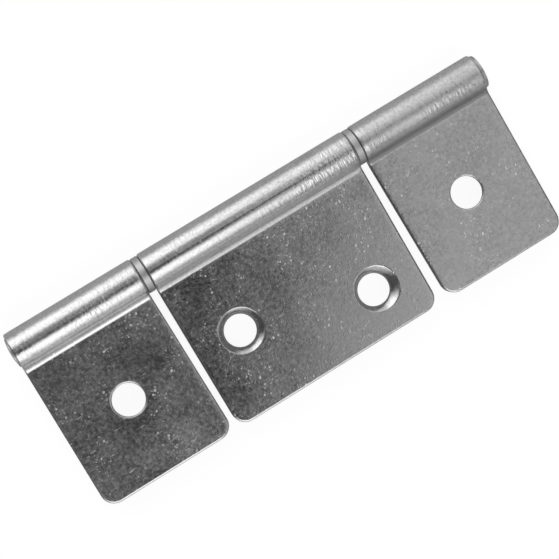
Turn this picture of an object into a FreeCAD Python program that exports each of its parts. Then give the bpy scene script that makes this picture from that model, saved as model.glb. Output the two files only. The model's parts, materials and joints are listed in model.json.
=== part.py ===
import FreeCAD, Part
import math
import os

import Sketcher
from FreeCAD import Vector

# Three-leaf hinge: a wide centre leaf and two narrower outer leaves, each a stamped
# strip of steel whose end is rolled round one pin. The leaves sit side by side on the
# pin with a washer between neighbours, so closed they lie in one plane, one sheet thick.
#
# Frame: origin on the pin's axis at mid length, X along the pin, the closed leaves
# reach towards -Y, and +Z is the side the centre leaf's countersinks open to.

# Driving sizes, in millimetres and degrees
SIZES = {
    "centre_leaf_width": 33.5,
    "outer_leaf_width": 20.15,
    "leaf_reach": 25.4,
    "sheet_thickness": 1.3,
    "corner_radius": 2.1,
    "edge_break": 0.15,
    "bend_radius": 1.1,
    "seam_gap": 0.2,
    "pin_diameter": 3.0,
    "pin_play": 0.05,
    "axial_play": 0.05,
    "head_diameter": 5.0,
    "head_rim": 0.4,
    "head_height": 0.6,
    "riveted_diameter": 4.4,
    "riveted_rim": 0.1,
    "riveted_height": 0.35,
    "washer_thickness": 1.1,
    "washer_diameter": 5.5,
    "washer_break": 0.12,
    "screw_hole_diameter": 4.7,
    "countersink_diameter": 6.6,
    "countersink_angle": 90.0,
    "near_hole_reach": 13.8,
    "far_hole_reach": 18.8,
    "centre_hole_spacing": 19.3,
}


def make_sheet(doc):
    """Spreadsheet with one row per driving size: its word, its number and the alias."""
    sheet = doc.addObject("Spreadsheet::Sheet", "Sizes")
    for row, (word, number) in enumerate(SIZES.items(), start=1):
        sheet.set(f"A{row}", word)
        sheet.set(f"B{row}", str(number))
        sheet.setAlias(f"B{row}", word)
    doc.recompute()
    return sheet


def bind(item, path, formula):
    """Ties one property to a formula of the sheet's words."""
    for word in sorted(SIZES, key=len, reverse=True):
        formula = formula.replace(word, f"Sizes.{word}")
    item.setExpression(path, formula)


def new_body(doc, label):
    """Empty body whose label is the piece's name."""
    body = doc.addObject("PartDesign::Body", label)
    body.Label = label
    return body


def plane(body, role):
    """The body's own origin plane with the given role."""
    return next(p for p in body.Origin.OriginFeatures if p.Role == role)


def new_sketch(body, name, role):
    """Sketch on one of the body's own origin planes."""
    sketch = body.newObject("Sketcher::SketchObject", name)
    sketch.AttachmentSupport = (plane(body, role), [""])
    sketch.MapMode = "FlatFace"
    return sketch


def size_it(sketch, name, formula, *arguments):
    """Adds one dimension to a sketch and ties it to a formula of the sheet."""
    index = sketch.addConstraint(Sketcher.Constraint(*arguments))
    sketch.renameConstraint(index, name)
    bind(sketch, f"Constraints.{name}", formula)


def on_circle(radius, degrees):
    """Point at an angle on a circle round the pin's axis, in a sketch."""
    turn = math.radians(degrees)
    return Vector(radius * math.cos(turn), radius * math.sin(turn), 0)


def arc(centre, radius, start, end):
    """Arc of a circle, run anticlockwise from one angle to the other, in degrees."""
    circle = Part.Circle(centre, Vector(0, 0, 1), radius)
    return Part.ArcOfCircle(circle, math.radians(start), math.radians(end))


# The strip's section. The flat leaf's middle plane runs through the pin's axis. A short
# bend lifts it, and the rest is rolled over the pin, so that the tail stops just short
# of the bend on the back. These formulas place the bend and the tail.
BORE = "(pin_diameter / 2 + pin_play)"
BARREL = f"({BORE} + sheet_thickness)"
BEND_MIDDLE = "(bend_radius + sheet_thickness / 2)"
CENTRES = f"({BARREL} + bend_radius)"
LEAN = f"asin({BEND_MIDDLE} / {CENTRES})"
BEND_OUTSIDE = "(bend_radius + sheet_thickness + seam_gap)"
TAIL_TURN = f"acos(({BARREL}^2 + {CENTRES}^2 - {BEND_OUTSIDE}^2) / (2 * {BARREL} * {CENTRES}))"


def strip_section(body, v):
    """Sketch of the strip seen from its end: flat, bend and curl, as one closed outline."""
    sketch = new_sketch(body, body.Label + "_section", "YZ_Plane")
    bore = v.pin_diameter / 2 + v.pin_play
    barrel = bore + v.sheet_thickness
    centres = barrel + v.bend_radius
    bend_outside = v.bend_radius + v.sheet_thickness
    half = v.sheet_thickness / 2
    lean = math.degrees(math.asin((v.bend_radius + half) / centres))
    reach = barrel**2 + centres**2 - (bend_outside + v.seam_gap) ** 2
    tail_turn = math.degrees(math.acos(reach / (2 * barrel * centres)))
    meet = 180 - lean
    tail = meet + tail_turn
    bend = on_circle(centres, meet)
    tip = -v.leaf_reach
    foot, roof = Vector(bend.x, -half, 0), Vector(bend.x, half, 0)
    low_tip, high_tip = Vector(tip, -half, 0), Vector(tip, half, 0)
    front, curve, outside, end, inside, back_curve, back, edge = sketch.addGeometry(
        [
            Part.LineSegment(high_tip, roof),
            arc(bend, v.bend_radius, -90, -lean),
            arc(Vector(), barrel, tail - 360, meet),
            Part.LineSegment(on_circle(barrel, tail), on_circle(bore, tail)),
            arc(Vector(), bore, tail - 360, meet),
            arc(bend, bend_outside, -90, -lean),
            Part.LineSegment(foot, low_tip),
            Part.LineSegment(low_tip, high_tip),
        ]
    )
    # End points are numbered 1 for start and 2 for end, centres 3; -1, 1 is the origin.
    rules = [
        ("Coincident", outside, 3, -1, 1),
        ("Coincident", inside, 3, -1, 1),
        ("Coincident", curve, 3, back_curve, 3),
        ("Tangent", front, 2, curve, 1),
        ("Tangent", curve, 2, outside, 2),
        ("Coincident", outside, 1, end, 1),
        ("Coincident", end, 2, inside, 1),
        ("Tangent", inside, 2, back_curve, 2),
        ("Tangent", back_curve, 1, back, 1),
        ("Coincident", back, 2, edge, 1),
        ("Coincident", edge, 2, front, 1),
        ("Horizontal", front),
        ("Horizontal", back),
        ("Vertical", edge),
        ("PointOnObject", -1, 1, end),
    ]
    for rule in rules:
        sketch.addConstraint(Sketcher.Constraint(*rule))
    size_it(sketch, "bore", BORE, "Radius", inside, bore)
    size_it(sketch, "barrel", BARREL, "Radius", outside, barrel)
    size_it(sketch, "bend", "bend_radius", "Radius", curve, v.bend_radius)
    size_it(sketch, "half", "sheet_thickness / 2", "DistanceY", -1, 1, edge, 2, half)
    size_it(sketch, "reach", "leaf_reach", "DistanceX", edge, 2, -1, 1, v.leaf_reach)
    turn = math.radians(tail - 180)
    size_it(sketch, "tail", f"{TAIL_TURN} - {LEAN}", "Angle", end, turn)
    return sketch


def bored_with_countersink(body, name, across, reach, v, back=False):
    """Screw hole through the leaf, countersunk on the front face or on the back one."""
    side = -1 if back else 1
    sketch = new_sketch(body, body.Label + "_" + name, "XY_Plane")
    bind(sketch, ".AttachmentOffset.Base.z", f"{side} * sheet_thickness / 2")
    centre = Vector(across[1], -reach[1], 0)
    circle = Part.Circle(centre, Vector(0, 0, 1), v.screw_hole_diameter / 2)
    ring = sketch.addGeometry(circle)
    size_it(sketch, "radius", "screw_hole_diameter / 2", "Radius", ring, circle.Radius)
    if across[0] == "0":
        sketch.addConstraint(Sketcher.Constraint("PointOnObject", ring, 3, -2))
    elif across[1] < 0:
        size_it(sketch, "across", across[0], "DistanceX", ring, 3, -1, 1, -across[1])
    else:
        size_it(sketch, "across", across[0], "DistanceX", -1, 1, ring, 3, across[1])
    size_it(sketch, "reach", reach[0], "DistanceY", ring, 3, -1, 1, reach[1])
    body.Document.recompute()
    hole = body.newObject("PartDesign::Hole", body.Label + "_" + name + "_hole")
    hole.Profile = sketch
    hole.Reversed = back
    hole.DepthType = "ThroughAll"
    hole.HoleCutType = "Countersink"
    hole.HoleCutCustomValues = True
    bind(hole, "Diameter", "screw_hole_diameter")
    bind(hole, "HoleCutDiameter", "countersink_diameter")
    bind(hole, "HoleCutCountersinkAngle", "countersink_angle")
    body.Document.recompute()


def edges_where(shape, wanted):
    """Names of the edges whose middle point and bounding box suit the test."""
    names = []
    for number, edge in enumerate(shape.Edges, start=1):
        middle = edge.valueAt((edge.FirstParameter + edge.LastParameter) / 2)
        if wanted(middle, edge.BoundBox):
            names.append(f"Edge{number}")
    return names


def dress_up(body, kind, measure, name, size, wanted):
    """Fillet or chamfer of one named size on the edges of the last feature that suit the test."""
    base = body.Tip
    feature = body.newObject(f"PartDesign::{kind}", body.Label + "_" + name)
    feature.Base = (base, edges_where(base.Shape, wanted))
    bind(feature, measure, size)
    body.Document.recompute()


def leaf(doc, label, width, place, holes, v):
    """One leaf: stamped strip with rounded corners, rolled end, broken edges and screw holes."""
    body = new_body(doc, label)
    section = strip_section(body, v)
    strip = body.newObject("PartDesign::Pad", label + "_strip")
    strip.Profile = section
    strip.SideType = "Symmetric"
    bind(strip, "Length", width)
    doc.recompute()
    half = v.sheet_thickness / 2
    tip = -v.leaf_reach
    slack = v.edge_break / 4

    def upright_at_tip(middle, box):
        return box.ZLength > half and box.YMax < tip + slack and box.XLength < slack

    def front_outline(middle, box):
        side = box.XLength < slack
        rim = middle.y**2 + middle.z**2 > (v.pin_diameter / 2 + half) ** 2
        return side and rim and middle.z > 0 or flat_front(middle, box)

    def flat_front(middle, box):
        return box.ZLength < slack and middle.z > half - slack and middle.y < tip / 2

    dress_up(body, "Fillet", "Radius", "corners", "corner_radius", upright_at_tip)
    dress_up(body, "Chamfer", "Size", "edges", "edge_break", front_outline)
    for name, across, reach, back in holes:
        bored_with_countersink(body, name, across, reach, v, back)
    bind(body, ".Placement.Base.x", place)
    return body


def washer(doc, label, place, v):
    """Blanked ring that keeps two knuckles apart, with the edges of its rim taken off."""
    body = new_body(doc, label)
    sketch = new_sketch(body, label + "_rings", "YZ_Plane")
    bore = v.pin_diameter / 2 + v.pin_play
    for name, formula, radius in (
        ("rim", "washer_diameter / 2", v.washer_diameter / 2),
        ("bore", BORE, bore),
    ):
        ring = sketch.addGeometry(Part.Circle(Vector(), Vector(0, 0, 1), radius))
        sketch.addConstraint(Sketcher.Constraint("Coincident", ring, 3, -1, 1))
        size_it(sketch, name, formula, "Radius", ring, radius)
    ring = body.newObject("PartDesign::Pad", label + "_ring")
    ring.Profile = sketch
    ring.SideType = "Symmetric"
    bind(ring, "Length", "washer_thickness")
    doc.recompute()

    def rim_edge(middle, box):
        return math.hypot(middle.y, middle.z) > bore + v.washer_break / 2

    dress_up(body, "Chamfer", "Size", "rims", "washer_break", rim_edge)
    bind(body, ".Placement.Base.x", place)
    return body


# How the pieces line up along the pin: a gap holds one washer with play on both its
# sides, and the pin's head and riveted end stand the same play off the outer knuckles.
GAP = "(washer_thickness + 2 * axial_play)"
OUTER_PLACE = f"(centre_leaf_width / 2 + {GAP} + outer_leaf_width / 2)"
WASHER_PLACE = f"(centre_leaf_width / 2 + {GAP} / 2)"
HEAD_PLACE = f"({OUTER_PLACE} + outer_leaf_width / 2 + axial_play)"


def dome_over(radius, rise):
    """Radius and half angle, in degrees, of the dome that rises so far over a rim."""
    dome = (radius**2 + rise**2) / (2 * rise)
    return dome, math.degrees(math.asin(radius / dome))


def hinge_pin(doc, label, v):
    """Pin with a low made head at its right end and its left end hammered over, revolved
    about its axis."""
    body = new_body(doc, label)
    sketch = new_sketch(body, label + "_half", "XY_Plane")
    gap = v.washer_thickness + 2 * v.axial_play
    neck = v.centre_leaf_width / 2 + gap + v.outer_leaf_width + v.axial_play
    shaft = v.pin_diameter / 2
    head, rim, crown = v.head_diameter / 2, neck + v.head_rim, neck + v.head_height
    rivet, lip, tail = v.riveted_diameter / 2, neck + v.riveted_rim, neck + v.riveted_height
    dome, sweep = dome_over(head, crown - rim)
    bulge, turn = dome_over(rivet, tail - lip)
    axis, cap, right_rim, right_step, shank, left_step, left_rim, left_cap = sketch.addGeometry(
        [
            Part.LineSegment(Vector(-tail, 0, 0), Vector(crown, 0, 0)),
            arc(Vector(crown - dome, 0, 0), dome, 0, sweep),
            Part.LineSegment(Vector(rim, head, 0), Vector(neck, head, 0)),
            Part.LineSegment(Vector(neck, head, 0), Vector(neck, shaft, 0)),
            Part.LineSegment(Vector(neck, shaft, 0), Vector(-neck, shaft, 0)),
            Part.LineSegment(Vector(-neck, shaft, 0), Vector(-neck, rivet, 0)),
            Part.LineSegment(Vector(-neck, rivet, 0), Vector(-lip, rivet, 0)),
            arc(Vector(bulge - tail, 0, 0), bulge, 180 - turn, 180),
        ]
    )
    rules = [
        ("Coincident", axis, 2, cap, 1),
        ("Coincident", cap, 2, right_rim, 1),
        ("Coincident", right_rim, 2, right_step, 1),
        ("Coincident", right_step, 2, shank, 1),
        ("Coincident", shank, 2, left_step, 1),
        ("Coincident", left_step, 2, left_rim, 1),
        ("Coincident", left_rim, 2, left_cap, 1),
        ("Coincident", left_cap, 2, axis, 1),
        ("PointOnObject", axis, 1, -1),
        ("PointOnObject", axis, 2, -1),
        ("PointOnObject", cap, 3, -1),
        ("PointOnObject", left_cap, 3, -1),
        ("Symmetric", shank, 1, shank, 2, -2),
        ("Horizontal", right_rim),
        ("Vertical", right_step),
        ("Horizontal", left_rim),
        ("Vertical", left_step),
    ]
    for rule in rules:
        sketch.addConstraint(Sketcher.Constraint(*rule))
    size_it(sketch, "neck", HEAD_PLACE, "DistanceX", -1, 1, shank, 1, neck)
    size_it(sketch, "shaft", "pin_diameter / 2", "DistanceY", -1, 1, shank, 1, shaft)
    size_it(sketch, "head", "head_diameter / 2", "DistanceY", -1, 1, right_rim, 1, head)
    size_it(sketch, "rim", "head_rim", "DistanceX", right_rim, 2, right_rim, 1, v.head_rim)
    size_it(
        sketch, "crown", f"{HEAD_PLACE} + head_height", "DistanceX", -1, 1, axis, 2, crown
    )
    size_it(sketch, "rivet", "riveted_diameter / 2", "DistanceY", -1, 1, left_rim, 1, rivet)
    size_it(sketch, "lip", "riveted_rim", "DistanceX", left_rim, 2, left_rim, 1, v.riveted_rim)
    size_it(
        sketch, "tail", f"{HEAD_PLACE} + riveted_height", "DistanceX", axis, 1, -1, 1, tail
    )
    turned = body.newObject("PartDesign::Revolution", label + "_turned")
    turned.Profile = sketch
    turned.ReferenceAxis = (sketch, ["H_Axis"])
    turned.Angle = 360
    doc.recompute()
    return body


def check(doc, pieces):
    """Stops the script if any feature has failed or a piece isn't one sound solid."""
    for item in doc.Objects:
        if "Invalid" in item.State or "Error" in item.State:
            raise RuntimeError(f"{item.Label} failed: {item.State}")
    for piece in pieces:
        if piece.Shape.isNull() or not piece.Shape.isValid() or len(piece.Shape.Solids) != 1:
            raise RuntimeError(f"{piece.Label} isn't one valid solid")


doc = FreeCAD.newDocument("ThreeLeafHinge")
sizes = make_sheet(doc)
half_spacing = sizes.centre_hole_spacing / 2
near = ("near_hole_reach", sizes.near_hole_reach)
far = ("far_hole_reach", sizes.far_hole_reach)
staggered = [
    ("near_screw", ("centre_hole_spacing / 2", -half_spacing), near, False),
    ("far_screw", ("centre_hole_spacing / 2", half_spacing), far, False),
]
single = [("screw", ("0", 0), near, True)]
pieces = [
    leaf(doc, "centre_leaf", "centre_leaf_width", "0 * centre_leaf_width", staggered, sizes),
    leaf(doc, "left_leaf", "outer_leaf_width", f"-{OUTER_PLACE}", single, sizes),
    leaf(doc, "right_leaf", "outer_leaf_width", OUTER_PLACE, single, sizes),
    washer(doc, "left_washer", f"-{WASHER_PLACE}", sizes),
    washer(doc, "right_washer", WASHER_PLACE, sizes),
    hinge_pin(doc, "hinge_pin", sizes),
]
doc.recompute()
check(doc, pieces)
os.makedirs("parts", exist_ok=True)
for piece in pieces:
    piece.Shape.exportStep(f"parts/{piece.Label}.step")
    box = piece.Shape.BoundBox
    print(
        f"{piece.Label}: volume {piece.Shape.Volume:.2f}, "
        f"x {box.XMin:.2f} to {box.XMax:.2f}, y {box.YMin:.2f} to {box.YMax:.2f}, "
        f"z {box.ZMin:.2f} to {box.ZMax:.2f}"
    )
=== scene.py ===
import json
import math
from collections import namedtuple

import bmesh
import bpy
import numpy as np
from mathutils import Matrix, Vector


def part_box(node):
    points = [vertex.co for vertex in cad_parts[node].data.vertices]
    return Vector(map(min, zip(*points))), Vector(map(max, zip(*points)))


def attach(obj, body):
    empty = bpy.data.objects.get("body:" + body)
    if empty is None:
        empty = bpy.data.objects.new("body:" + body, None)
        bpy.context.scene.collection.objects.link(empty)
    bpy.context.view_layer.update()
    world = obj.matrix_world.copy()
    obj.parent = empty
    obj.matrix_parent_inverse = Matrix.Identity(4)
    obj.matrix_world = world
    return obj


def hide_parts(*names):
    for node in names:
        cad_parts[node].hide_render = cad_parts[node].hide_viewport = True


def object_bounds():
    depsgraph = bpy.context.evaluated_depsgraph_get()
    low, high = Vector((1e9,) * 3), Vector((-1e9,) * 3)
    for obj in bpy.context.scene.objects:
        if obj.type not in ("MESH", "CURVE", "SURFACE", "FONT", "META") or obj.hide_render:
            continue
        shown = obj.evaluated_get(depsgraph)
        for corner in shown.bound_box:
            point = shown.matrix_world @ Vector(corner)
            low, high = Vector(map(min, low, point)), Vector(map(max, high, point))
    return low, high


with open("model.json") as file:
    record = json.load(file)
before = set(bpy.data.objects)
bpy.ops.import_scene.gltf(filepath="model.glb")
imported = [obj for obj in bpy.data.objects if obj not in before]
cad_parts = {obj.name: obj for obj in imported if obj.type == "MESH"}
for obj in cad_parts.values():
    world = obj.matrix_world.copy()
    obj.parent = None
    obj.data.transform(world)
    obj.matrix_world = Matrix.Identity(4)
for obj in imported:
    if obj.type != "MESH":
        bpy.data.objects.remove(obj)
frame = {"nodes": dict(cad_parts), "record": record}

cad_box = [list(corner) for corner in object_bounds()]
MM = 0.001
scene = bpy.context.scene
mounts = {mount["name"]: mount for mount in frame["record"]["mounts"]}


# The leaves. Each is a blank stamped from 1.3 mm steel strip, with rounded tip corners
# and screw holes, whose end is then rolled round the pin. The die leaves a soft edge on
# the face it enters, and a sharper one on the other face.
SHEET = 1.3 * MM
DIE_ROLL = 0.32 * MM
DIE_DROP = 0.2 * MM
BACK_EDGE = 0.07 * MM
TIP_CORNER = 2.1 * MM
# The corners at the rolled end, which have to stay larger than DIE_ROLL.
TAIL_CORNER = 0.6 * MM
BEND_INSIDE = 1.1 * MM
SEAM = 0.2 * MM
COUNTERSINK = 3.22 * MM
HOLE_RIM = 0.16 * MM
SINK_RIM = 0.08 * MM
HOLE_RADIUS = mounts["centre_screws"]["dims"]["hole_r_mm"] * MM
CENTRE_SPACING = 19.3 * MM

HALF = SHEET / 2
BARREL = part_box("centre_leaf")[1].z
REACH = -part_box("centre_leaf")[0].y
CURL = BARREL - HALF
BEND = BEND_INSIDE + HALF
RISE = math.acos(BEND / (CURL + BEND))
FLAT_END = REACH - (CURL + BEND) * math.sin(RISE)
CURL_START = FLAT_END + BEND * RISE
GRIP = BEND_INSIDE + SHEET + SEAM
TAIL_TURN = math.acos(
    (BARREL**2 + (CURL + BEND) ** 2 - GRIP**2) / (2 * BARREL * (CURL + BEND))
)
STRIP = CURL_START + CURL * (2 * math.pi - TAIL_TURN)

# How finely the mesh is cut: the width of a cell, the rows of points along the flat, the
# bend and the curl, and the points round a corner, an edge and a hole's rim.
CELL = 0.55 * MM
FLAT_ROWS, BEND_ROWS, CURL_ROWS = 38, 14, 96
CORNER_POINTS = 7
EDGE_POINTS = 8
RIM_POINTS = 5

# The block of cells that makes room for a hole, and the rings that fill it, which lie
# closer together towards the hole.
BLOCK_CELLS = 7
BLOCK_HALF = 4.3 * MM
RINGS = 9
RING_CROWDING = 0.8

# Points are rounded to steps of this size, so that the shared ones become one.
WELD = 1e-4 * MM

# The press left each outline a little out of square: how far its left and its right side
# stand off at the tip.
OFF_SQUARE = {
    "centre_leaf": (0.0, -0.13 * MM),
    "left_leaf": (-0.04 * MM, 0.3 * MM),
    "right_leaf": (0.3 * MM, -0.12 * MM),
}

# A screw hole: its place on the blank, the faces on which it is countersunk, and how far
# the countersink was sunk off its middle.
Hole = namedtuple("Hole", "across along front back drift")


def rolled(points, middle):
    """Bends the flat blank. A point is (across, along, off): along runs from the tip, off
    is the height above the strip's middle line. The middle line is straight up to
    FLAT_END, turns up by the angle RISE on the radius BEND, then turns back round the
    pin on the radius CURL. With heading t, a point beside an arc is its centre plus
    (radius, less or plus off) times the arc's normal (sin t, -cos t)."""
    across, along, off = points.T
    bend_turn = np.clip((along - FLAT_END) / BEND, 0, RISE)
    curl_turn = RISE - np.clip((along - CURL_START) / CURL, 0, None)
    flat = along < FLAT_END
    bent = ~flat & (along < CURL_START)
    y = np.where(
        bent,
        FLAT_END - REACH + (BEND - off) * np.sin(bend_turn),
        -(CURL + off) * np.sin(curl_turn),
    )
    z = np.where(
        bent,
        BEND - (BEND - off) * np.cos(bend_turn),
        (CURL + off) * np.cos(curl_turn),
    )
    y = np.where(flat, along - REACH, y)
    z = np.where(flat, off, z)
    return np.stack([middle + across, y, z], 1)


def outline(width, inset, rows, cells):
    """Blank's outline drawn in by inset, anticlockwise from the tip's left end: straight
    runs, and corner arcs with centre + (radius - inset) * (cos, sin) of the angle."""
    side = width / 2 - inset
    tip = side + inset - TIP_CORNER
    tail = side + inset - TAIL_CORNER
    even = np.linspace(-1, 1, cells + 1)
    quarter = np.linspace(0, math.pi / 2, CORNER_POINTS + 2)[1:-1]

    def corner(across, along, radius, start):
        arc = quarter + start
        reach = radius - inset
        return np.stack([across + reach * np.cos(arc), along + reach * np.sin(arc)], 1)

    def run(across, along):
        return np.stack(np.broadcast_arrays(across, along), 1)

    return np.concatenate(
        [
            run(even * tip, inset),
            corner(tip, TIP_CORNER, TIP_CORNER, -math.pi / 2),
            run(side, rows),
            corner(tail, STRIP - TAIL_CORNER, TAIL_CORNER, 0),
            run(-even * tail, STRIP - inset),
            corner(-tail, STRIP - TAIL_CORNER, TAIL_CORNER, math.pi / 2),
            run(-side, rows[::-1]),
            corner(-tip, TIP_CORNER, TIP_CORNER, math.pi),
        ]
    )


def quads(count_a, count_b, start, wrap=False, flip=False):
    """Quads of a grid of count_a by count_b points whose first point has the number start."""
    last = count_a if wrap else count_a - 1
    a, b = np.meshgrid(np.arange(last), np.arange(count_b - 1), indexing="ij")
    a, b = a.ravel(), b.ravel()
    here, beside = a * count_b + b, (a + 1) % count_a * count_b + b
    corners = [here, beside, beside + 1, here + 1]
    return start + np.stack(corners[::-1] if flip else corners, 1)


def lifted(points, off):
    """(across, along) points at the height off."""
    flat = points.reshape(-1, 2)
    return np.concatenate([flat, np.full((len(flat), 1), off)], 1)


def face_grid(width, inset, off, rows, cells, holes, flip):
    """One face of the blank: rows of points from side to side, with a square block of
    cells left out round each hole and filled by rings that shrink from the block's edge
    to the hole's rim. Gives its points, its quads and each hole's angles."""
    ring = outline(width, inset, rows, cells)
    first_right = cells + 1
    right = ring[first_right : first_right + 2 * CORNER_POINTS + len(rows)]
    even = np.linspace(-1, 1, cells + 1)
    tip_row = ring[:first_right]
    tail_half = width / 2 - TAIL_CORNER
    middle = [np.stack([even * side, np.full(cells + 1, along)], 1) for side, along in right]
    tail_row = np.stack([even * tail_half, np.full(cells + 1, STRIP - inset)], 1)
    grid = np.stack([tip_row, *middle, tail_row])
    count = len(grid)
    points = [lifted(grid, off)]
    kept = np.ones((count - 1, cells), bool)
    patches, angles, start = [], [], len(points[0])
    for across, along, rim in holes:
        # A third of the way along, the rows have the leaf's full width.
        nearest = np.abs(grid[count // 3, :, 0] - across).argsort()[:2].min()
        low = max(nearest - BLOCK_CELLS, 0)
        high = min(nearest + BLOCK_CELLS + 1, cells)
        lines = np.nonzero(np.abs(grid[:, 0, 1] - along) < BLOCK_HALF)[0]
        bottom, top = lines[0], lines[-1]
        kept[bottom:top, low:high] = False
        loop = np.concatenate(
            [
                grid[bottom, low:high],
                grid[bottom:top, high],
                grid[top, high:low:-1],
                grid[top:bottom:-1, low],
            ]
        )
        turn = np.arctan2(loop[:, 1] - along, loop[:, 0] - across)
        circle = np.stack([across + rim * np.cos(turn), along + rim * np.sin(turn)], 1)
        share = np.linspace(0, 1, RINGS)[None, :, None] ** RING_CROWDING
        shrunk = loop[:, None] * (1 - share) + circle[:, None] * share
        points.append(lifted(shrunk, off))
        patches.append(quads(len(loop), RINGS, start, wrap=True, flip=flip))
        start += len(points[-1])
        angles.append(turn)
    sheet = quads(count, cells + 1, 0, flip=not flip)
    faces = [sheet[kept.ravel()], *patches]
    return np.concatenate(points), np.concatenate(faces), angles


def hole_profile(front, back):
    """(radius, off) down a screw hole's wall from the front face to the back one: a
    rounded rim, the 90 degree countersink if there is one, and the straight wall. The
    fractions of a rim's size set the points that round it."""
    if back:
        return [(radius, -off) for radius, off in hole_profile(True, False)[::-1]]
    radius, rim = HOLE_RADIUS, HOLE_RIM
    if front:
        deep = COUNTERSINK - radius
        top = [
            (COUNTERSINK + SINK_RIM, HALF),
            (COUNTERSINK + SINK_RIM / 3, HALF - SINK_RIM / 5),
            (COUNTERSINK - SINK_RIM / 2, HALF - SINK_RIM * 0.7),
            (radius + deep / 2, HALF - deep / 2),
            (radius + rim / 2, HALF - deep + rim / 2),
            (radius, HALF - deep - rim / 2),
        ]
    else:
        arc = np.linspace(0, math.pi / 2, RIM_POINTS)
        top = [(radius + rim * (1 - math.sin(t)), HALF - rim * (1 - math.cos(t))) for t in arc]
    bottom = [(radius, -HALF + rim), (radius + rim / 3, -HALF + rim / 4), (radius + rim, -HALF)]
    return top + bottom


def hole_wall(hole, profile, turn, back_turn):
    """Points of a hole's wall. They turn from the front face's angles to the back one's,
    and the countersink's middle drifts off the hole's on the way to the front."""
    reach, off = np.array(profile).T
    slip = (back_turn - turn + math.pi) % (2 * math.pi) - math.pi
    turns = turn[:, None] + slip[:, None] * np.linspace(0, 1, len(profile))
    rise = np.clip((off - HALF) / (COUNTERSINK - HOLE_RADIUS) + 1, 0, 1)
    across = hole.across + hole.drift * rise + reach * np.cos(turns)
    along = hole.along + reach * np.sin(turns)
    return np.stack([across, along, np.broadcast_to(off, turns.shape)], 2)


def edge_profile():
    """(inset, off) down the stamped edge: the die's soft edge, then the sharper one."""
    arc = np.linspace(0, math.pi / 2, EDGE_POINTS)
    soft = [(DIE_ROLL * (1 - math.sin(t)), HALF - DIE_DROP * (1 - math.cos(t))) for t in arc]
    sharp = [(BACK_EDGE * (1 - math.cos(t)), BACK_EDGE * (1 - math.sin(t)) - HALF) for t in arc]
    return soft + sharp


def out_of_square(points, width, left, right):
    """Shifts points across by the left and right side's error, shared out by how far
    across they are, and fading with a straight slope from the tip to the flat's end."""
    across, along = points[:, 0], points[:, 1]
    share = across / width + 0.5
    fade = np.clip(1 - along / FLAT_END, 0, 1)
    moved = points.copy()
    moved[:, 0] += fade * (left * (1 - share) + right * share)
    return moved


def blank(width, holes):
    """Flat blank as one closed surface: front and back face, rounded edge strip along the
    outline and a wall round each hole, joined point to point."""
    cells = 2 * round(width / 2 / CELL)
    rows = np.concatenate(
        [
            np.linspace(TIP_CORNER, FLAT_END, FLAT_ROWS)[:-1],
            np.linspace(FLAT_END, CURL_START, BEND_ROWS)[:-1],
            np.linspace(CURL_START, STRIP - TAIL_CORNER, CURL_ROWS),
        ]
    )
    walls = [hole_profile(hole.front, hole.back) for hole in holes]
    fronts = [(h.across + h.drift, h.along, wall[0][0]) for h, wall in zip(holes, walls)]
    backs = [(h.across, h.along, wall[-1][0]) for h, wall in zip(holes, walls)]
    front = face_grid(width, DIE_ROLL, HALF, rows, cells, fronts, False)
    back = face_grid(width, BACK_EDGE, -HALF, rows, cells, backs, True)
    points, faces = [front[0], back[0]], [front[1], back[1] + len(front[0])]
    start = len(front[0]) + len(back[0])
    edge = edge_profile()
    levels = [lifted(outline(width, inset, rows, cells), off) for inset, off in edge]
    strip = np.stack(levels, 1)
    points.append(strip.reshape(-1, 3))
    faces.append(quads(len(strip), len(edge), start, wrap=True, flip=True))
    start += len(points[-1])
    for hole, wall, turn, back_turn in zip(holes, walls, front[2], back[2]):
        points.append(hole_wall(hole, wall, turn, back_turn).reshape(-1, 3))
        faces.append(quads(len(turn), len(wall), start, wrap=True))
        start += len(points[-1])
    steps = np.round(np.concatenate(points) / WELD)
    welded, index = np.unique(steps, axis=0, return_inverse=True)
    return welded * WELD, index.ravel()[np.concatenate(faces)]


def leaf(name, body, holes):
    """Leaf as one closed mesh: its blank pressed out of square, then rolled."""
    low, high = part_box(name)
    width, middle = high.x - low.x, (low.x + high.x) / 2
    points, faces = blank(width, holes)
    shaped = rolled(out_of_square(points, width, *OFF_SQUARE[name]), middle)
    mesh = bpy.data.meshes.new(name + "_strip")
    mesh.from_pydata(shaped.tolist(), [], faces.tolist())
    outward = bmesh.new()
    outward.from_mesh(mesh)
    bmesh.ops.recalc_face_normals(outward, faces=outward.faces)
    outward.to_mesh(mesh)
    outward.free()
    mesh.shade_smooth()
    piece = bpy.data.objects.new(name + "_strip", mesh)
    scene.collection.objects.link(piece)
    even = piece.modifiers.new("Even normals", "WEIGHTED_NORMAL")
    even.keep_sharp = True
    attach(piece, body)
    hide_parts(name)
    return piece


def along_of(mount):
    """Distance of a mount from the leaf's tip."""
    return REACH + mounts[mount]["pos_m"][1]


OUTER_HOLES = [Hole(0.0, along_of("outer_screws"), False, True, 0.0)]
CENTRE_ALONG = along_of("centre_screws")
CENTRE_DIAGONAL = mounts["centre_screws"]["dims"]["pcd_mm"] * MM
STAGGER = math.sqrt(CENTRE_DIAGONAL**2 - CENTRE_SPACING**2) / 2
CENTRE_HOLES = [
    Hole(-CENTRE_SPACING / 2, CENTRE_ALONG + STAGGER, True, False, 0.05 * MM),
    Hole(CENTRE_SPACING / 2, CENTRE_ALONG - STAGGER, True, False, 0.32 * MM),
]
leaves = [
    leaf("centre_leaf", "centre", CENTRE_HOLES),
    leaf("left_leaf", "left", OUTER_HOLES),
    leaf("right_leaf", "right", OUTER_HOLES),
]


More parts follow.
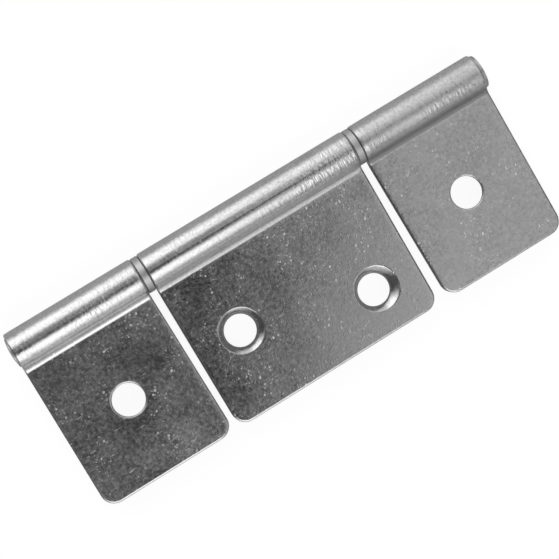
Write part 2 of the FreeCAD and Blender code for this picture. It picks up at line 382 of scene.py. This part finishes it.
def linear(hex_colour):
    """sRGB hex value as linear colour."""
    parts = [int(hex_colour[i : i + 2], 16) / 255 for i in (1, 3, 5)]
    return [c / 12.92 if c < 0.04045 else ((c + 0.055) / 1.055) ** 2.4 for c in parts] + [1.0]


def add(tree, kind, links=(), **settings):
    """Adds one node: settings name its inputs or, failing that, its properties; links
    are (input, socket) pairs."""
    node = tree.nodes.new(kind)
    for name, value in settings.items():
        if name.title() in node.inputs:
            node.inputs[name.title()].default_value = value
        else:
            setattr(node, name, value)
    for place, socket in links:
        tree.links.new(socket, node.inputs[place])
    return node


def feed(tree, entry, value):
    """Links a socket to an input, or sets the input to a fixed number or colour."""
    if isinstance(value, bpy.types.NodeSocket):
        tree.links.new(value, entry)
    else:
        entry.default_value = value


def metal(name):
    """Empty metal material: its node tree, its shader and its coordinates."""
    material = bpy.data.materials.new(name)
    material.use_nodes = True
    tree = material.node_tree
    shader = tree.nodes["Principled BSDF"]
    shader.inputs["Metallic"].default_value = 1.0
    coordinates = tree.nodes.new("ShaderNodeTexCoord").outputs
    return material, tree, shader, coordinates


def noise(tree, place, size, detail=2.0, roughness=0.5):
    """Noise whose blotches are about size across."""
    settings = {"scale": 0.5 / size, "detail": detail, "roughness": roughness}
    return add(tree, "ShaderNodeTexNoise", [("Vector", place)], **settings).outputs["Fac"]


def spread(tree, value, low, high, to_low=0.0, to_high=1.0):
    """Maps a value from low..high to to_low..to_high, held at both ends."""
    node = add(tree, "ShaderNodeMapRange", [("Value", value)])
    limits = {"From Min": low, "From Max": high, "To Min": to_low, "To Max": to_high}
    for key, number in limits.items():
        node.inputs[key].default_value = number
    return node.outputs["Result"]


def combine(tree, operation, first, second=0.0):
    """Math node on two sockets, or on a socket and a number."""
    node = add(tree, "ShaderNodeMath", [(0, first)], operation=operation)
    feed(tree, node.inputs[1], second)
    return node.outputs[0]


def plus(tree, first, second):
    return combine(tree, "ADD", first, second)


def times(tree, first, second):
    return combine(tree, "MULTIPLY", first, second)


def blend(tree, share, first, second):
    """Mixes two colours, each a socket or a fixed colour."""
    node = add(tree, "ShaderNodeMix", [(0, share)], data_type="RGBA")
    feed(tree, node.inputs[6], first)
    feed(tree, node.inputs[7], second)
    return node.outputs[2]


def spots(tree, place, pitch, full, edge):
    """Ragged spots, at most one per cell of size pitch: 1 within the share full of the
    pitch, 0 beyond the share edge. Cells off the surface give small spots or none."""
    ragged = spread(tree, noise(tree, place, pitch / 4, 1.0), 0.3, 0.7, -edge / 2, edge / 2)
    cells = add(tree, "ShaderNodeTexVoronoi", [("Vector", place)], scale=1 / pitch)
    away = plus(tree, cells.outputs["Distance"], ragged)
    return spread(tree, away, full, edge, 1.0, 0.0)


def rings(tree, place, pitch, radius, line):
    """Thin rings of dried drops: 1 on the circle of the given share of the pitch."""
    cells = add(tree, "ShaderNodeTexVoronoi", [("Vector", place)], scale=1 / pitch)
    off = combine(tree, "ABSOLUTE", plus(tree, cells.outputs["Distance"], -radius))
    return spread(tree, off, 0.0, line, 1.0, 0.0)


def strokes(tree, place, heading, length, width):
    """Sparse thin strokes along a heading in the XY plane, where a noise has its peaks."""
    turned = add(tree, "ShaderNodeMapping", [("Vector", place)])
    turned.inputs["Rotation"].default_value = (0, 0, -math.radians(heading))
    turned.inputs["Scale"].default_value = (1, length / width, length / width)
    return spread(tree, noise(tree, turned.outputs[0], length, 1.0), 0.76, 0.84)


def scaled(tree, place, scale):
    """Coordinates multiplied by a scale on each axis."""
    node = add(tree, "ShaderNodeMapping", [("Vector", place)])
    node.inputs["Scale"].default_value = scale
    return node.outputs[0]


def crinkles(tree, place):
    """Short wrinkles across the barrel, in patches, as tight rolling leaves them."""
    wrinkle = noise(tree, scaled(tree, place, (3.4, 1, 1)), 0.75 * MM, 2.0, 0.6)
    patch = spread(tree, noise(tree, place, 5.0 * MM, 1.0), 0.46, 0.6, 0.05, 1.0)
    return times(tree, wrinkle, patch)


# Bright zinc plating on cold-rolled sheet: a soft mirror whose blotches come from uneven
# plating, with grains and pits that catch the light, handling scratches, dried drops, and
# a crinkled skin where the sheet was rolled tightly round the pin.
def zinc_plated(name, gloss, grains, relief, dull, groove_shade):
    material, tree, shader, coordinates = metal(name)
    place = coordinates["Object"]
    parts = add(tree, "ShaderNodeSeparateXYZ", [(0, place)]).outputs
    facing = add(tree, "ShaderNodeSeparateXYZ", [(0, coordinates["Normal"])]).outputs
    radial = scaled(tree, place, (0, 1, 1))
    length = add(tree, "ShaderNodeVectorMath", [("Vector", radial)], operation="LENGTH")
    from_pin = length.outputs["Value"]

    # Where on the leaf: the barrel, the flat, the sheared edges, and the groove between
    # the flat and the barrel.
    rolled_part = spread(tree, from_pin, 2.87 * MM, 2.95 * MM, 1.0, 0.0)
    flat_part = spread(tree, from_pin, 2.9 * MM, 3.2 * MM, 0.45, 1.0)
    upright = combine(tree, "ABSOLUTE", facing["Z"])
    off_barrel = spread(tree, from_pin, 3.0 * MM, 4.0 * MM)
    sheared = times(tree, spread(tree, upright, 0.25, 0.6, 1.0, 0.0), off_barrel)
    above_flat = spread(tree, parts["Z"], HALF, HALF + 0.05 * MM)
    below_top = spread(tree, parts["Z"], 1.6 * MM, 2.4 * MM, 1.0, 0.0)
    before_pin = spread(tree, parts["Y"], -2.0 * MM, -1.5 * MM, 1.0, 0.0)
    groove = times(tree, times(tree, above_flat, below_top), before_pin)

    # What lies on it: fine mottle, broad clouds, clustered grains, drops and scratches.
    mottle = noise(tree, place, 0.22 * MM, 3.0, 0.65)
    cloud = noise(tree, place, 4.5 * MM, 3.0, 0.6)
    cluster = noise(tree, place, 2.4 * MM, 3.0, 0.6)
    clustered = spread(tree, cluster, grains - 0.04, grains + 0.16, 0.12, 1.0)
    sparse = spread(tree, cluster, grains + 0.02, grains + 0.2, 0.12, 1.0)
    fine_grains = times(tree, spots(tree, place, 0.42 * MM, 0.06, 0.3), clustered)
    coarse_grains = times(tree, spots(tree, place, 0.85 * MM, 0.06, 0.2), sparse)
    specks = plus(tree, times(tree, fine_grains, 0.34), coarse_grains)
    specks = times(tree, specks, flat_part)
    drops = times(tree, rings(tree, place, 4.0 * MM, 0.17, 0.03), clustered)
    falling = strokes(tree, place, -35.0, 1.3 * MM, 0.1 * MM)
    rising = strokes(tree, place, 28.0, 1.0 * MM, 0.09 * MM)
    scratches = plus(tree, falling, rising)
    crinkle = times(tree, crinkles(tree, place), rolled_part)
    drawn_out = noise(tree, scaled(tree, place, (0.1, 1, 1)), 0.3 * MM, 2.0)
    streak = times(tree, drawn_out, rolled_part)

    even_mottle = spread(tree, mottle, 0.3, 0.7)
    ground = blend(tree, even_mottle, linear("#AEAEAE"), linear("#D0D0D0"))
    pale = blend(tree, spread(tree, cloud, 0.35, 0.65, 0.0, 0.3), ground, linear("#D4D4D4"))
    marks = plus(tree, specks, times(tree, scratches, 0.5))
    bright = blend(tree, marks, pale, linear("#F0F0F0"))
    # Painted shade: the groove between the flat and the barrel is darkened towards dark grey, as
    # far as the leaf's batch sets.
    colour = blend(tree, times(tree, groove, groove_shade), bright, linear("#7C7C7C"))
    colour = blend(tree, times(tree, sheared, 0.8), colour, linear("#6E6E6E"))
    tree.links.new(colour, shader.inputs["Base Color"])

    rough = spread(tree, cloud, 0.3, 0.7, gloss - 0.03, gloss + 0.05)
    rough = plus(tree, rough, spread(tree, mottle, 0.3, 0.7, -0.03, 0.06))
    for mark, amount in ((specks, 0.22), (scratches, 0.15), (groove, dull), (sheared, 0.2)):
        rough = plus(tree, rough, times(tree, mark, amount))
    tree.links.new(rough, shader.inputs["Roughness"])

    normal = None
    for height, distance in (
        (cloud, 0.018 * MM),
        (times(tree, mottle, flat_part), 0.006 * MM),
        (crinkle, 0.06 * MM),
        (streak, 0.009 * MM),
        (drops, 0.004 * MM),
        (specks, relief),
        (scratches, 0.003 * MM),
    ):
        bump = add(tree, "ShaderNodeBump", [("Height", height)], distance=distance)
        if normal:
            tree.links.new(normal, bump.inputs["Normal"])
        normal = bump.outputs[0]
    tree.links.new(normal, shader.inputs["Normal"])
    return material


# Each leaf comes from its own batch of plating: its gloss, how sparse its grains are, how
# far they stand out, how dull the groove beside the barrel is, and how much painted shade
# darkens that groove.
batches = [
    (0.155, 0.44, 0.02 * MM, 0.22, 0.0),
    (0.18, 0.46, 0.016 * MM, -0.05, 0.0),
    (0.26, 0.47, 0.06 * MM, 0.3, 0.65),
]
for piece, batch in zip(leaves, batches):
    piece.data.materials.append(zinc_plated("Bright zinc-plated steel", *batch))


# The pin and the washers. The pin is drawn steel wire with a low made head at its right
# end, and its left end was hammered over once the leaves were on it. The washers are
# blanked rings, tumbled to a dull grey. All keep the shapes of the frame.
def tumbled(name, dark, pale, roughness):
    """Dull bare steel, whose fine blotches blur what it mirrors."""
    material, tree, shader, coordinates = metal(name)
    mottle = noise(tree, coordinates["Object"], 0.5 * MM, 3.0, 0.6)
    colour = blend(tree, spread(tree, mottle, 0.3, 0.7), linear(dark), linear(pale))
    tree.links.new(colour, shader.inputs["Base Color"])
    rough = spread(tree, mottle, 0.3, 0.7, roughness - 0.05, roughness + 0.07)
    tree.links.new(rough, shader.inputs["Roughness"])
    settings = {"distance": 0.01 * MM, "strength": 0.5}
    bump = add(tree, "ShaderNodeBump", [("Height", mottle)], **settings)
    tree.links.new(bump.outputs[0], shader.inputs["Normal"])
    return material


washer_steel = tumbled("Tumbled steel washer", "#B4B4B4", "#C6C6C6", 0.42)
pin_steel = tumbled("Hammered steel pin", "#A2A2A2", "#BCBCBC", 0.3)
for name, material in (
    ("left_washer", washer_steel),
    ("right_washer", washer_steel),
    ("hinge_pin", pin_steel),
):
    node = frame["nodes"][name]
    node.data.materials.clear()
    node.data.materials.append(material)


# The card under the hinge is pale paper. It glows for the camera, so that it shows as
# plain white with a faint shadow, and glows much less in the metal, where a white card
# would wash out the barrel's far flank.
CARD_HALF = 3.0
PAPER_ROUGHNESS = 0.9
GLOW = 1.16
GLOW_TO_CAMERA = 0.8
GLOW_IN_METAL = 0.15
WHITE = (1, 1, 1, 1)
card_height = cad_box[0][2]
card_mesh = bpy.data.meshes.new("card")
corners = [(-1, -1), (1, -1), (1, 1), (-1, 1)]
card_mesh.from_pydata(
    [(x * CARD_HALF, y * CARD_HALF, card_height) for x, y in corners], [], [(0, 1, 2, 3)]
)
card = bpy.data.objects.new("card", card_mesh)
scene.collection.objects.link(card)
white = bpy.data.materials.new("White card")
white.use_nodes = True
tree = white.node_tree
paper = tree.nodes["Principled BSDF"]
paper.inputs["Base Color"].default_value = linear("#C4C4C4")
paper.inputs["Roughness"].default_value = PAPER_ROUGHNESS
path = tree.nodes.new("ShaderNodeLightPath").outputs
mirrored = plus(tree, path["Is Glossy Ray"], path["Is Transmission Ray"])
to_camera = times(tree, path["Is Camera Ray"], GLOW_TO_CAMERA)
share = plus(tree, to_camera, times(tree, mirrored, GLOW_IN_METAL))
glow = add(tree, "ShaderNodeEmission", color=WHITE, strength=GLOW)
card_links = [(0, share), (1, paper.outputs[0]), (2, glow.outputs[0])]
swap = add(tree, "ShaderNodeMixShader", card_links)
tree.links.new(swap.outputs[0], tree.nodes["Material Output"].inputs["Surface"])
card_mesh.materials.append(white)


# The studio: soft strips of light along both long sides of the hinge, a ceiling that is
# dim on the left and brighter on the right, and dim ends. The camera sees a white
# backdrop instead, and so does the metal at the horizon.
world = bpy.data.worlds.new("Studio")
scene.world = world
world.use_nodes = True
tree = world.node_tree
tree.nodes.clear()
direction = tree.nodes.new("ShaderNodeTexCoord").outputs["Generated"]
axes = add(tree, "ShaderNodeSeparateXYZ", [("Vector", direction)]).outputs
# The angle in degrees from straight up, positive towards +Y.
lean = times(tree, combine(tree, "ARCTAN2", axes["Y"], axes["Z"]), math.degrees(1.0))


def tones(value, stops):
    """Ramp of greys over a value, from (value, grey) stops."""
    low, high = stops[0][0], stops[-1][0]
    ramp = add(tree, "ShaderNodeValToRGB", [("Fac", spread(tree, value, low, high))])
    elements = ramp.color_ramp.elements
    while len(elements) < len(stops):
        elements.new(0.5)
    for element, (place, grey) in zip(elements, stops):
        element.position = (place - low) / (high - low)
        element.color = (grey, grey, grey, 1)
    return ramp.outputs[0]


# The strips differ from end to end, and change over from the left leaf's to the right's.
near_left = tones(
    lean,
    [
        (-89, 0.85), (-78, 0.62), (-68, 0.85), (-50, 2.0), (-32, 2.2), (-22, 1.3), (-14, 0.4),
        (5, 0.35), (12, 0.25), (20, 0.28), (28, 0.7), (36, 1.6), (60, 2.1), (74, 1.6), (88, 0.8),
    ],
)
far_right = tones(
    lean,
    [
        (-88, 0.2), (-76, 0.3), (-62, 0.45), (-46, 0.5), (-31, 0.52), (-15, 0.6),
        (5, 0.75), (17, 0.95), (33, 0.85), (49, 0.8), (70, 1.0), (88, 0.7),
    ],
)
strips = blend(tree, spread(tree, axes["X"], 0.07, 0.22), near_left, far_right)

# The ceiling lights the flats. Its tones run along X, slanted by Y up to SLANT_CAP, and
# the step in them is the soft edge of tone across the centre leaf.
SLANT = -1.62
SLANT_CAP = 0.232
slanting = plus(tree, axes["X"], times(tree, axes["Y"], SLANT))
slant = combine(tree, "MINIMUM", slanting, plus(tree, axes["X"], SLANT_CAP))
ceiling = tones(
    slant,
    [
        (-0.2, 0.1), (0.03, 0.15), (0.11, 0.02), (0.18, 0.03), (0.26, 0.05), (0.3, 0.01),
        (0.322, 0.02), (0.35, 0.68), (0.4, 0.68), (0.58, 0.6), (0.83, 0.2),
    ],
)
overhead = tones(lean, [(-20, 0.0), (-14, 1.0), (-2, 1.0), (4, 0.0)])
studio = blend(tree, overhead, strips, ceiling)
ends = tones(axes["X"], [(-0.8, 1.0), (-0.35, 0.0), (0.55, 0.0), (0.85, 1.0)])
far_end = tones(axes["X"], [(-0.9, 0.1), (0.9, 0.12)])
studio = blend(tree, ends, studio, far_end)
lit = add(tree, "ShaderNodeBackground", [("Color", studio)], strength=1.0)

path = tree.nodes.new("ShaderNodeLightPath").outputs
horizon = spread(tree, combine(tree, "ABSOLUTE", axes["Z"]), 0.02, 0.06, 1.0, 0.0)
share = plus(tree, path["Is Camera Ray"], path["Is Transmission Ray"])
share = plus(tree, share, times(tree, path["Is Glossy Ray"], horizon))
backdrop = add(tree, "ShaderNodeBackground", color=WHITE, strength=1.0)
sky_links = [(0, share), (1, lit.outputs[0]), (2, backdrop.outputs[0])]
sky = add(tree, "ShaderNodeMixShader", sky_links)
add(tree, "ShaderNodeOutputWorld", [("Surface", sky.outputs[0])])


# The camera: nearly square above the leaves, rolled so that the barrel climbs to the
# right. Its place, turns and scale were fitted to the photo's leaf corners and holes.
AIM = Vector((-1.28 * MM, -10.53 * MM, 0.0))
DISTANCE = 250.0 * MM
ROLL, NOD, SWING = math.radians(30.69), math.radians(6.21), math.radians(7.0)
PIXELS_PER_MM = 7.128
FRAME_PIXELS = 559
SENSOR = 36.0
camera = bpy.data.objects.new("camera", bpy.data.cameras.new("camera"))
scene.collection.objects.link(camera)
turned = Matrix.Rotation(ROLL, 3, "Z") @ Matrix.Rotation(NOD, 3, "X")
turned = (turned @ Matrix.Rotation(SWING, 3, "Y")).transposed()
place = turned.to_4x4()
place.translation = AIM + DISTANCE * turned.col[2]
camera.matrix_world = place
camera.data.sensor_width = SENSOR
camera.data.lens = SENSOR * PIXELS_PER_MM * DISTANCE / MM / FRAME_PIXELS
camera.data.clip_start = 0.01
camera.data.clip_end = 10.0
scene.camera = camera

scene.view_settings.view_transform = "Standard"
